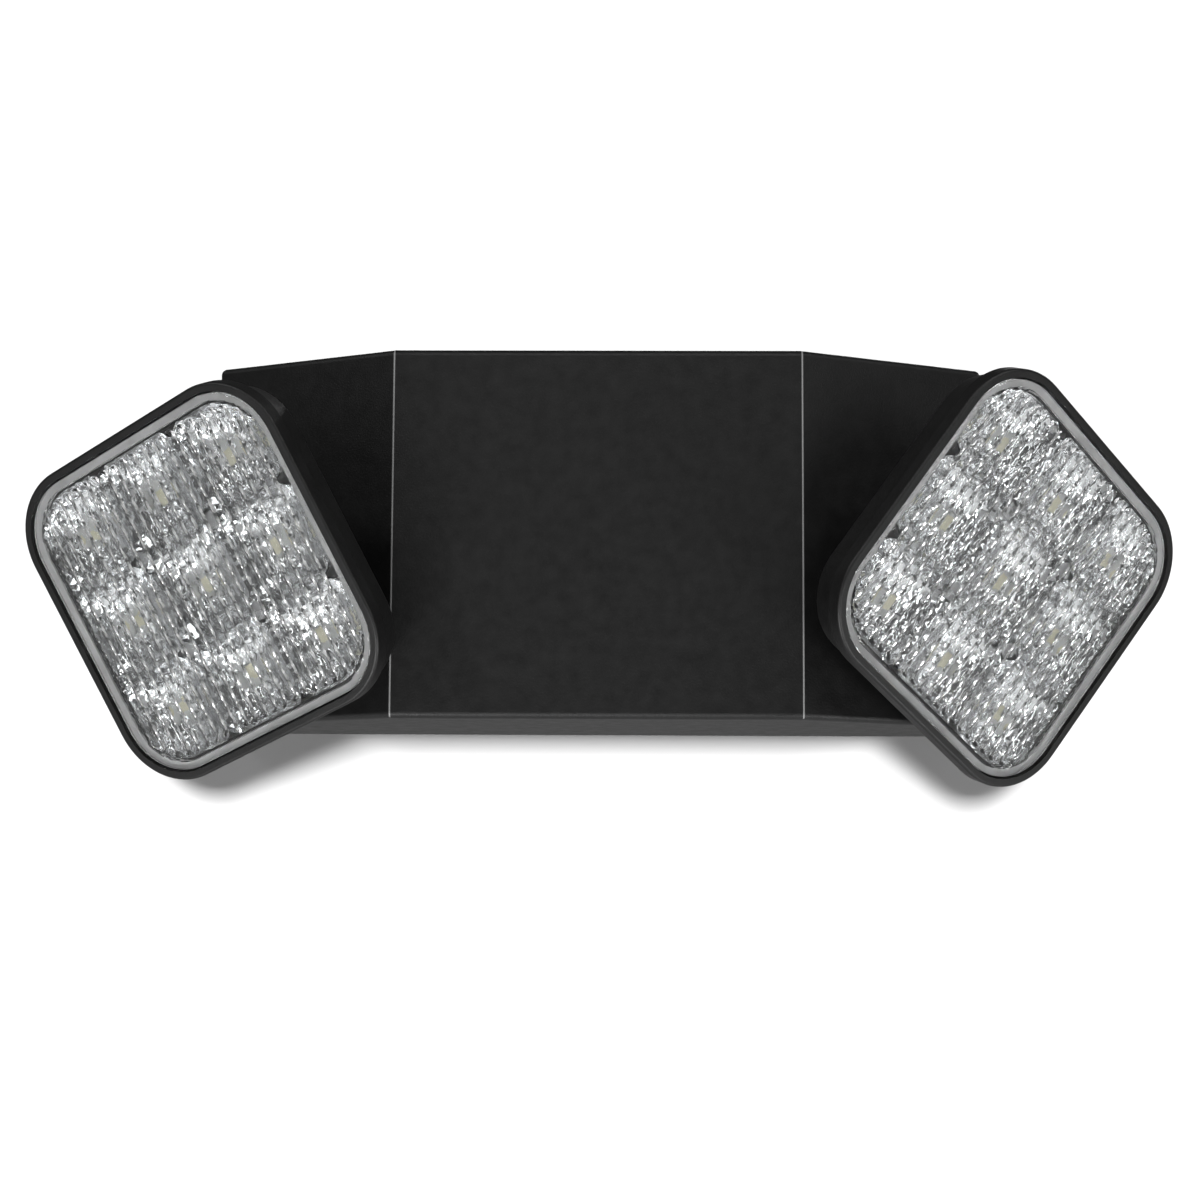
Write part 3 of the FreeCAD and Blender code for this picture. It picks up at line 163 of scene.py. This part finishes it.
def lens_relief(across, up, half, corner, phases):
    """How much thinner the lens is here than at its seat."""
    index = math.floor(across / FLUTE_PITCH + 0.5)
    middle = index * FLUTE_PITCH
    radius = FLUTE_PITCH / 2
    sideways = (across - middle) / radius
    past = max(0.0, abs(up) - (reach(middle, half, corner) - TIP_INSET - radius)) / radius
    rise = FLUTE_RISE * max(0.0, 1.0 - sideways ** 2 - past ** 2)
    turn = 2 * math.pi * up
    pillow = PILLOW_RISE * math.cos(turn / PILLOW_PITCH + phases[index])
    dimple = DIMPLE_RISE * math.cos(turn / DIMPLE_PITCH + DIMPLE_SHIFT * phases[index])
    across_dimple = math.cos(math.pi * sideways)
    full = rise + (pillow + dimple * across_dimple) * min(1.0, rise / FLUTE_RISE * PILLOW_SPREAD)
    return (FLUTE_FLOOR - full) * smooth_step((inset(across, up, half, corner) - BAND) / BAND_SLOPE)


# %% [markdown]
# ## From points to a closed lens
#
# The inside face is a grid of columns and rows whose ends follow the outline. Its outer edge is the start of
# the side wall, and a narrow slope leads on to the flat front, which is one large face. A flat front has to
# look flat, so only the small four-sided faces are shaded smooth. Every piece made here is built on an
# upright head at the origin and then taken to its place by the head's matrix.

# %% Put a finished mesh in its place
def new_piece(name, built, side, sharp_turn=None):
    """Turn a finished bmesh into an object in the row frame, flat unless a sharp turn is given."""
    mesh = bpy.data.meshes.new(name)
    built.transform(HEADS[side])
    bmesh.ops.recalc_face_normals(built, faces=built.faces)
    built.to_mesh(mesh)
    built.free()
    if sharp_turn is not None:
        mesh.shade_smooth()
        mesh.set_sharp_from_angle(angle=sharp_turn)
        for face in mesh.polygons:
            face.use_smooth = len(face.vertices) == 4
    piece = bpy.data.objects.new(name, mesh)
    bpy.context.scene.collection.objects.link(piece)
    return piece


# %% Build the lenses
COLUMN = FLUTE_PITCH / 10
ROW = 0.42 * MM
EDGE_ROUND = 0.25 * MM
FLUTES_EACH_WAY = 20
SHARP_TURN = math.radians(40)


def inside_grid(side, half, corner, back, built):
    """Columns of points on the lens's inside face."""
    phase_maker = random.Random(side)
    phases = {index: phase_maker.uniform(0, 2 * math.pi)
              for index in range(-FLUTES_EACH_WAY, FLUTES_EACH_WAY + 1)}
    steps = math.floor(half / COLUMN)
    rows = math.ceil(2 * half / ROW)
    grid = []
    for across in [-half] + [step * COLUMN for step in range(-steps, steps + 1)] + [half]:
        top = reach(across, half, corner)
        ups = [top * (2 * row / rows - 1) for row in range(rows + 1)]
        grid.append([built.verts.new((across, up, back + lens_relief(across, up, half, corner, phases)))
                     for up in ups])
    return grid


def outline(grid):
    """The grid's outer points, once round."""
    return ([column[0] for column in grid] + grid[-1][1:] + [column[-1] for column in grid[-2::-1]]
            + grid[0][-2:0:-1])


def build_lens(side):
    half, corner, back, front = measure_square(f"{side}_lens", HEADS[side])
    built = bmesh.new()
    grid = inside_grid(side, half, corner, back, built)
    for left, right in zip(grid, grid[1:]):
        for row in range(len(left) - 1):
            built.faces.new((left[row], left[row + 1], right[row + 1], right[row]))
    edge = outline(grid)
    shrink = (half - EDGE_ROUND) / half
    side_ring = [built.verts.new((vertex.co.x, vertex.co.y, front - EDGE_ROUND)) for vertex in edge]
    face_ring = [built.verts.new((vertex.co.x * shrink, vertex.co.y * shrink, front)) for vertex in edge]
    for low_ring, high_ring in ((edge, side_ring), (side_ring, face_ring)):
        for spot in range(len(edge)):
            after = (spot + 1) % len(edge)
            built.faces.new((low_ring[spot], low_ring[after], high_ring[after], high_ring[spot]))
    built.faces.new(face_ring)
    lens = new_piece(f"{side}_fluted_lens", built, side, SHARP_TURN)
    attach(lens, f"{side}_lamp")
    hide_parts(f"{side}_lens")
    return lens


made = {}
for side in SIDES:
    lens = build_lens(side)
    made[lens] = "clear_lens"
    print(lens.name, len(lens.data.polygons), "faces")

# %% [markdown]
# ## The mirror cups
#
# Behind each lens is a tray of nine mirror cups, three by three, each around one light chip. They are
# moulded together and plated. Neighbouring cups meet in a thin ridge, and each cup is cut into flat facets,
# as cheap reflectors are, which breaks what they mirror into many small pieces. The cups are built ring by
# ring: the throat is round and the mouth is square, and the rings between change from one to the other.

# %% Build the mirror cups
CUPS = 3
SECTORS = 24
RINGS = 7
TRAY_MARGIN = 1.9 * MM
TRAY_SKIN = 0.5 * MM
THROAT = 3.3 * MM
BOWL = 1.8
FACET_TILT = 0.16 * MM
EDGE_STEP = 0.01 * MM
EDGE_TOLERANCE = 0.001 * MM
WELD = 0.02 * MM


def cup_edge(centre, angle, cell, half, corner):
    """How far from a cup's centre its mouth is at an angle: the cell's edge, kept inside the tray."""
    toward = (math.cos(angle), math.sin(angle))
    far = cell / max(abs(toward[0]), abs(toward[1]))
    while inset(centre[0] + toward[0] * far, centre[1] + toward[1] * far, half, corner) < -EDGE_TOLERANCE:
        far -= EDGE_STEP
    return far


def build_cups(side):
    lens_half, lens_corner, _, _ = measure_square(f"{side}_lens", HEADS[side])
    low, high = local_box(frame["nodes"][f"{side}_reflector"], HEADS[side])
    half, corner = lens_half - TRAY_MARGIN, lens_corner - TRAY_MARGIN
    cell = half / CUPS
    floor_height, depth = low.z + TRAY_SKIN, high.z - low.z - TRAY_SKIN
    unevenness = random.Random(f"{side} cups")
    built = bmesh.new()
    places = [cell * (2 * index + 1 - CUPS) for index in range(CUPS)]
    angles = [2 * math.pi * (sector + 0.5) / SECTORS for sector in range(SECTORS)]
    for centre in ((across, up) for across in places for up in places):
        edges = [cup_edge(centre, angle, cell, half, corner) for angle in angles]
        rings = []
        for ring in range(RINGS + 1):
            share = ring / RINGS
            rings.append([built.verts.new((
                centre[0] + (THROAT + (edge - THROAT) * share) * math.cos(angle),
                centre[1] + (THROAT + (edge - THROAT) * share) * math.sin(angle),
                floor_height + depth * share ** BOWL
                + (unevenness.uniform(-FACET_TILT, FACET_TILT) if 0 < ring < RINGS else 0.0)))
                for angle, edge in zip(angles, edges)])
        for inner, outer in zip(rings, rings[1:]):
            for sector in range(SECTORS):
                after = (sector + 1) % SECTORS
                built.faces.new((inner[sector], outer[sector], outer[after], inner[after]))
    bmesh.ops.remove_doubles(built, verts=built.verts, dist=WELD)
    bmesh.ops.recalc_face_normals(built, faces=built.faces)
    bmesh.ops.solidify(built, geom=built.faces[:], thickness=TRAY_SKIN)
    cups = new_piece(f"{side}_mirror_cups", built, side)
    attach(cups, f"{side}_lamp")
    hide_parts(f"{side}_reflector")
    return cups


for side in SIDES:
    cups = build_cups(side)
    made[cups] = "bright_reflector"
    low, high = local_box(cups, HEADS[side])
    print(cups.name, len(cups.data.polygons), "faces, z in mm:", round(low.z / MM, 2), round(high.z / MM, 2))

# %% [markdown]
# ## The stage
#
# The light hangs on a white wall, well above a pale floor. The wall is only there for the front: its material
# is clear when it is seen from behind, and it blocks no light, so the back plate can be looked at too. It
# also stays out of the plastic's reflections, where it would turn the case's underside pale. The floor glows
# a little, so that it stays pale far from its lamp.

# %% Floor and wall
STAGE_HALF = 12.0
FLOOR_DROP = 1.4
WALL_GAP = 0.0004


def stage_plane(name, half_size, place):
    """A large square for the stage, facing up (+Z) until it is turned."""
    mesh = bpy.data.meshes.new(name)
    corners = [(-half_size, -half_size, 0), (half_size, -half_size, 0),
               (half_size, half_size, 0), (-half_size, half_size, 0)]
    mesh.from_pydata(corners, [], [(0, 1, 2, 3)])
    plane = bpy.data.objects.new(name, mesh)
    plane.matrix_world = place
    bpy.context.scene.collection.objects.link(plane)
    return plane


floor = stage_plane("floor", STAGE_HALF, Matrix.Translation((0, 0, CAD_BOX[0].z - FLOOR_DROP)))
wall_place = Matrix.Translation((0, WALL_GAP, 0)) @ Matrix.Rotation(math.radians(90), 4, "X")
wall = stage_plane("wall", STAGE_HALF, wall_place)
wall.visible_shadow = False
wall.visible_diffuse = False
wall.visible_glossy = False
print("floor at", round(floor.matrix_world.translation.z / MM), "mm")

# %% Stage materials
FLOOR_WHITE = (0.78, 0.78, 0.78, 1.0)
FLOOR_GLOW = 0.25
WALL_PAINT = (0.20, 0.20, 0.20, 1.0)


def material_nodes(name):
    """A new material's nodes, links, Principled shader and output."""
    material = bpy.data.materials.new(name)
    material.use_nodes = True
    nodes, links = material.node_tree.nodes, material.node_tree.links
    return material, nodes, links, nodes["Principled BSDF"], nodes["Material Output"]


def stage_material(name, paint):
    """Plain matt paint, with the nodes that it is made of."""
    material, nodes, links, shader, output = material_nodes(name)
    shader.inputs["Base Color"].default_value = paint
    shader.inputs["Roughness"].default_value = 1.0
    shader.inputs["Specular IOR Level"].default_value = 0.0
    return material, nodes, links, shader, output


def either(nodes, links, factor, first, second, surface):
    """Send one of two shaders to a surface socket: the first where the factor is 0."""
    choice = nodes.new("ShaderNodeMixShader")
    links.new(factor, choice.inputs["Fac"])
    links.new(first, choice.inputs[1])
    links.new(second, choice.inputs[2])
    links.new(choice.outputs["Shader"], surface)


floor_paint, _, _, shader, _ = stage_material("floor_paint", FLOOR_WHITE)
shader.inputs["Emission Color"].default_value = FLOOR_WHITE
shader.inputs["Emission Strength"].default_value = FLOOR_GLOW
floor.data.materials.append(floor_paint)

wall_paint, nodes, links, shader, output = stage_material("wall_paint", WALL_PAINT)
clear = nodes.new("ShaderNodeBsdfTransparent")
facing = nodes.new("ShaderNodeNewGeometry")
either(nodes, links, facing.outputs["Backfacing"], shader.outputs["BSDF"], clear.outputs["BSDF"],
       output.inputs["Surface"])
wall.data.materials.append(wall_paint)
print("floor and wall painted")

# %% [markdown]
# ## Light and camera
#
# The studio is dark grey all round. Black plastic is mostly what it reflects, so one broad lamp ahead and
# above is nearly enough for it. The lenses need more: each flute and cup turns a small bright lamp into a
# short white dash. So small lamps stand round about, low, high and at the sides. With the heads at rest,
# none stands where a flat lens front would mirror it straight into the camera and cover the lens with plain
# white. A head that is turned far can still catch one. The wall and the floor each have a lamp of their own,
# linked to them alone. The wall's lamp is almost straight ahead, which leaves a thin soft shadow under the
# case. One more lamp lights the back.

# %% Soft boxes and surroundings
def soft_box(name, place, aim, width, height, power):
    """A rectangular area light at a place, facing a point."""
    lamp = bpy.data.lights.new(name, "AREA")
    lamp.shape = "RECTANGLE"
    lamp.size, lamp.size_y = width, height
    lamp.energy = power
    holder = bpy.data.objects.new(name, lamp)
    holder.rotation_mode = "QUATERNION"
    holder.location = place
    holder.rotation_quaternion = (Vector(aim) - Vector(place)).to_track_quat("-Z", "Y")
    holder.visible_camera = False
    bpy.context.scene.collection.objects.link(holder)
    return holder


# Name, place, width, height and power.
SOFT_BOXES = (
    ("key_box", (0.1, -1.5, 1.2), 1.0, 0.6, 5.5),
    ("left_strip", (-1.10, -1.40, 0.10), 0.10, 1.0, 2.0),
    ("right_strip", (1.30, -1.25, 0.10), 0.10, 1.0, 3.5),
    ("low_left_box", (-0.70, -1.15, -1.25), 0.45, 0.30, 18.0),
    ("low_right_box", (1.20, -0.90, -1.10), 0.45, 0.30, 12.0),
    ("low_strip", (0.20, -1.60, -0.95), 1.40, 0.12, 3.5),
    ("high_left_box", (-1.10, -0.90, 1.20), 0.30, 0.30, 7.0),
    ("high_right_box", (1.10, -0.90, 1.20), 0.30, 0.30, 6.0),
    ("back_box", (0.9, 1.7, 0.8), 0.8, 0.8, 12))
MIDDLE = (CAD_BOX[0] + CAD_BOX[1]) / 2
for name, place, width, height, power in SOFT_BOXES:
    soft_box(name, place, MIDDLE, width, height, power)

wall_box = soft_box("wall_box", (0, -3.0, 0.16), MIDDLE, 0.35, 0.32, 420)
floor_box = soft_box("floor_box", (0, -0.5, 2.5), (0, -0.5, 0), 4.0, 4.0, 25)
for lamp, plane in ((wall_box, wall), (floor_box, floor)):
    only = bpy.data.collections.new(f"{plane.name}_only")
    only.objects.link(plane)
    lamp.light_linking.receiver_collection = only
print(len(SOFT_BOXES) + 2, "lamps")

# %% World
STUDIO_GREY = (0.07, 0.07, 0.07, 1.0)
world = bpy.data.worlds.new("studio")
bpy.context.scene.world = world
world.use_nodes = True
nodes, links = world.node_tree.nodes, world.node_tree.links
# The surroundings light the scene, and the paper is what the camera sees past the wall's edge.
surroundings = nodes["Background"]
surroundings.inputs["Color"].default_value = STUDIO_GREY
paper = nodes.new("ShaderNodeBackground")
paper.inputs["Color"].default_value = (1.0, 1.0, 1.0, 1.0)
seen = nodes.new("ShaderNodeLightPath")
either(nodes, links, seen.outputs["Is Camera Ray"], surroundings.outputs["Background"],
       paper.outputs["Background"], nodes["World Output"].inputs["Surface"])
bpy.context.scene.view_settings.view_transform = "Standard"

# %% Camera
CAMERA_SENSOR = 36.0
CAMERA_LENS = 64.9
CAMERA_PLACE = (0.00825, -0.5698, -0.0675)
CAMERA_TURN = [math.radians(angle) for angle in (0.845, 5.756, -0.28)]
camera_data = bpy.data.cameras.new("camera")
camera_data.sensor_width = CAMERA_SENSOR
camera_data.lens = CAMERA_LENS
camera = bpy.data.objects.new("camera", camera_data)
yaw, pitch, roll = CAMERA_TURN
level = Matrix.Rotation(math.radians(90), 4, "X")
turn = Matrix.Rotation(yaw, 4, "Z") @ Matrix.Rotation(pitch, 4, "X") @ Matrix.Rotation(roll, 4, "Y")
camera.matrix_world = Matrix.Translation(CAMERA_PLACE) @ turn @ level
bpy.context.scene.collection.objects.link(camera)
bpy.context.scene.camera = camera
print("camera at", [round(value / MM) for value in CAMERA_PLACE], "mm")

# %% [markdown]
# ## Finishes
#
# Most parts are moulded, stamped or wound, and each kind of making leaves its own small marks. One helper
# makes the common ones: a colour that wanders a little, a roughness that wanders too, and a fine grain in
# relief. The grain is sized in millimetres on the real part.

# %% The common finish
CLOUD_DETAIL = 3.0
CLOUD_LOW, CLOUD_HIGH = 0.3, 0.7
TONE_PATCH = 12
POLISH_PATCH = 7


def wander(nodes, links, cell, low, high):
    """A number that drifts between low and high over patches of the given size."""
    place = nodes.new("ShaderNodeTexCoord")
    cloud = nodes.new("ShaderNodeTexNoise")
    cloud.inputs["Scale"].default_value = 1 / cell
    cloud.inputs["Detail"].default_value = CLOUD_DETAIL
    span = nodes.new("ShaderNodeMapRange")
    span.inputs["From Min"].default_value = CLOUD_LOW
    span.inputs["From Max"].default_value = CLOUD_HIGH
    span.inputs["To Min"].default_value = low
    span.inputs["To Max"].default_value = high
    links.new(place.outputs["Object"], cloud.inputs["Vector"])
    links.new(cloud.outputs["Fac"], span.inputs["Value"])
    return span.outputs["Result"]


def grain(nodes, links, shader, cell, depth):
    """Fine relief: bumps of the given size and depth."""
    relief = nodes.new("ShaderNodeBump")
    relief.inputs["Distance"].default_value = depth
    links.new(wander(nodes, links, cell, 0.0, 1.0), relief.inputs["Height"])
    links.new(relief.outputs["Normal"], shader.inputs["Normal"])


def blended(nodes, links, factor, first, second):
    """A colour between two colours; the first may be a socket."""
    blend = nodes.new("ShaderNodeMix")
    blend.data_type = "RGBA"
    if isinstance(first, tuple):
        blend.inputs["A"].default_value = (*first, 1.0)
    else:
        links.new(first, blend.inputs["A"])
    blend.inputs["B"].default_value = (*second, 1.0)
    links.new(factor, blend.inputs["Factor"])
    return blend.outputs["Result"]


def common_finish(name, dark, light, rough, cell, depth, metal=0.0):
    """Two near tones, a wandering roughness and a fine grain."""
    material, nodes, links, shader, _ = material_nodes(name)
    shader.inputs["Metallic"].default_value = metal
    tone = wander(nodes, links, cell * TONE_PATCH, 0.0, 1.0)
    links.new(blended(nodes, links, tone, dark, light), shader.inputs["Base Color"])
    links.new(wander(nodes, links, cell * POLISH_PATCH, *rough), shader.inputs["Roughness"])
    grain(nodes, links, shader, cell, depth)
    return material


finishes = {}


def add_finishes(rows, metal=0.0):
    """Make common finishes from rows of name, dark, light, roughness, grain size and depth in mm."""
    for name, dark, light, rough, cell, depth in rows:
        finishes[name] = common_finish(name, dark, light, rough, cell * MM, depth * MM, metal)
    print([row[0] for row in rows])


# %% [markdown]
# ## Plastics
#
# The case, the heads and the swivels are one black plastic with a satin, finely grained mould surface. Its
# gloss is a little lower than the usual value, because the grain traps light. The rest is inside: nylon,
# the terminal block, the relay's blue case, the sleeves, the leads' red jackets, and the pale silicone
# gasket that each lens rests on, which shows through the lens as a light band.

# %% Plastics
add_finishes((
    ("pale_silicone", (0.5,) * 3, (0.6,) * 3, (0.35, 0.5), 0.4, 0.01),
    ("black_plastic", (0.004,) * 3, (0.007,) * 3, (0.40, 0.48), 0.45, 0.028),
    ("white_nylon", (0.70, 0.69, 0.65), (0.78, 0.77, 0.73), (0.4, 0.5), 0.3, 0.01),
    ("terminal_plastic", (0.02, 0.22, 0.09), (0.03, 0.27, 0.12), (0.35, 0.45), 0.3, 0.006),
    ("relay_case", (0.02, 0.12, 0.35), (0.03, 0.15, 0.42), (0.3, 0.4), 0.3, 0.004),
    ("capacitor_sleeve", (0.015, 0.02, 0.06), (0.02, 0.03, 0.09), (0.2, 0.3), 0.5, 0.006),
    ("shrink_sleeve", (0.02, 0.11, 0.3), (0.03, 0.14, 0.36), (0.25, 0.4), 0.8, 0.02),
    ("lead_jacket", (0.35, 0.02, 0.015), (0.42, 0.03, 0.02), (0.4, 0.5), 0.3, 0.01)))
PLASTIC_GLOSS = 0.38
black = finishes["black_plastic"].node_tree.nodes["Principled BSDF"]
black.inputs["Specular IOR Level"].default_value = PLASTIC_GLOSS

# %% [markdown]
# ## Boards, windings and light chips
#
# Printed boards are lacquered, green in the case and white behind the lenses so that they throw light back.
# The transformer's winding is wrapped in yellow tape. A light chip is covered with a pale yellow phosphor.

# %% Boards, windings and light chips
add_finishes((
    ("white_board", (0.72, 0.73, 0.72), (0.8, 0.8, 0.79), (0.35, 0.45), 0.4, 0.004),
    ("green_board", (0.01, 0.09, 0.035), (0.015, 0.13, 0.05), (0.25, 0.4), 0.5, 0.01),
    ("coil_tape", (0.62, 0.47, 0.05), (0.72, 0.56, 0.09), (0.3, 0.4), 0.7, 0.01),
    ("led_phosphor", (0.75, 0.72, 0.55), (0.82, 0.79, 0.64), (0.35, 0.45), 0.2, 0.004)))

# %% [markdown]
# ## Metals
#
# Bare metals take their look from polish: rolled aluminium is dull, steel screws and battery cans are
# brighter, and the plated mirror cups are brightest. The transformer's core is stacked sheet iron, darkened
# by its varnish, so it is only partly a metal to the eye.

# %% Metals
CORE_METAL = 0.8
add_finishes((
    ("bare_aluminium", (0.72, 0.73, 0.74), (0.82, 0.82, 0.83), (0.3, 0.45), 0.3, 0.006),
    ("steel", (0.55, 0.55, 0.56), (0.66, 0.66, 0.66), (0.22, 0.35), 0.3, 0.004),
    ("cell_can", (0.5, 0.5, 0.52), (0.6, 0.6, 0.61), (0.25, 0.35), 0.3, 0.004),
    ("bright_reflector", (0.82, 0.83, 0.84), (0.90, 0.90, 0.91), (0.05, 0.14), 1.5, 0.004)), 1.0)
add_finishes((
    ("core_iron", (0.16, 0.16, 0.17), (0.24, 0.23, 0.23), (0.4, 0.6), 0.5, 0.02),), CORE_METAL)

# %% [markdown]
# ## Clear finishes
#
# Clear plastic and glass show light rather than colour. Each has one shader that lets all its light through
# and bends it, and only the polish varies. The pilot lamp's window is the same, tinted red.

# %% Clear plastic and glass
def clear_finish(name, tint, bend, rough, cell):
    """Clear plastic or glass: light goes through, and the polish wanders a little."""
    material, nodes, links, shader, _ = material_nodes(name)
    shader.inputs["Base Color"].default_value = (*tint, 1.0)
    shader.inputs["Transmission Weight"].default_value = 1.0
    shader.inputs["IOR"].default_value = bend
    links.new(wander(nodes, links, cell, *rough), shader.inputs["Roughness"])
    return material


finishes["clear_lens"] = clear_finish("clear_lens", (0.97, 0.98, 0.98), 1.58, (0.0, 0.05), 3 * MM)
finishes["pilot_lens"] = clear_finish("pilot_lens", (0.85, 0.05, 0.04), 1.49, (0.05, 0.15), 2 * MM)
finishes["fuse_glass"] = clear_finish("fuse_glass", (0.93, 0.97, 0.95), 1.50, (0.0, 0.04), 3 * MM)
print(len(finishes), "finishes")

# %% [markdown]
# ## The case's creases
#
# The front of the case is folded like a screen: a flat panel with a slanting facet at each side. The two
# creases between them catch the light as thin bright lines, and here that highlight is painted: the case
# gets the same black plastic, with a thin pale line where the panel ends. Where that is, is measured: among
# the housing's corners at its very front, it is the widest.

# %% Measure the front panel
housing_corners = [vertex.co for vertex in frame["nodes"]["front_housing"].data.vertices]
PANEL_FRONT = min(corner.y for corner in housing_corners)
AT_FRONT = 0.05 * MM
PANEL_HALF = max(abs(corner.x) for corner in housing_corners if corner.y < PANEL_FRONT + AT_FRONT)
print("front panel half width, mm:", round(PANEL_HALF / MM, 2))

# %% Black plastic with a painted highlight on the creases
# The painted highlight: a thin pale line in the base colour along each crease, standing in for light caught there.
CREASE_WIDTH = 0.28 * MM
CREASE_PAINTED_HIGHLIGHT = (0.30,) * 3
FRONT_FADE = (0.5 * MM, 1.0 * MM)


def sum_step(nodes, links, operation, socket, number=0.0):
    """One step of arithmetic on a socket."""
    step = nodes.new("ShaderNodeMath")
    step.operation = operation
    step.inputs[1].default_value = number
    links.new(socket, step.inputs[0])
    return step.outputs[0]


def fade(nodes, links, socket, full, none):
    """One up to the first value, zero from the second on, and smooth between."""
    span = nodes.new("ShaderNodeMapRange")
    span.interpolation_type = "SMOOTHSTEP"
    span.inputs["From Min"].default_value = full
    span.inputs["From Max"].default_value = none
    span.inputs["To Min"].default_value = 1.0
    span.inputs["To Max"].default_value = 0.0
    links.new(socket, span.inputs["Value"])
    return span.outputs["Result"]


def painted_crease_highlight_finish(name, plain):
    """The plain black finish with a painted highlight: a pale line at the front panel's two side edges."""
    material = plain.copy()
    material.name = name
    nodes, links = material.node_tree.nodes, material.node_tree.links
    shader = nodes["Principled BSDF"]
    place, split = nodes.new("ShaderNodeTexCoord"), nodes.new("ShaderNodeSeparateXYZ")
    links.new(place.outputs["Object"], split.inputs["Vector"])
    from_middle = sum_step(nodes, links, "ABSOLUTE", split.outputs["X"])
    past_crease = sum_step(nodes, links, "SUBTRACT", from_middle, PANEL_HALF)
    from_crease = sum_step(nodes, links, "ABSOLUTE", past_crease)
    near = fade(nodes, links, from_crease, CREASE_WIDTH / 4, CREASE_WIDTH)
    in_front = fade(nodes, links, split.outputs["Y"], *(PANEL_FRONT + depth for depth in FRONT_FADE))
    both = nodes.new("ShaderNodeMath")
    both.operation = "MULTIPLY"
    links.new(near, both.inputs[0])
    links.new(in_front, both.inputs[1])
    under = shader.inputs["Base Color"].links[0].from_socket
    # Painted highlight: the base colour turns pale along the creases, where light would catch them.
    links.new(blended(nodes, links, both.outputs[0], under, CREASE_PAINTED_HIGHLIGHT), shader.inputs["Base Color"])
    return material


case_finish = painted_crease_highlight_finish("black_plastic_painted_crease_highlight", finishes["black_plastic"])

# %% [markdown]
# ## Dressing the parts
#
# The record names a material slot for every part, and the finishes go by the same names. So a loop dresses
# them all, and only the front housing gets the black plastic with the painted highlight on its creases. The
# lenses and mirror cups made above are dressed too.

# %% Give each part its finish
slot_of = {part["node"]: part["material_slot"] for part in frame["record"]["subparts"]}
for node, piece in frame["nodes"].items():
    finish = case_finish if node == "front_housing" else finishes[slot_of[node]]
    materials = piece.data.materials
    for index in range(len(materials)):
        materials[index] = finish
    if not materials:
        materials.append(finish)
for piece, slot in made.items():
    piece.data.materials.append(finishes[slot])
print(len(slot_of), "parts and", len(made), "remade pieces dressed")

# %% [markdown]
# ## Finish
#
# The scene is brought up to date. The remade pieces may not outgrow the imported ones.

# %% Finish
bpy.context.view_layer.update()
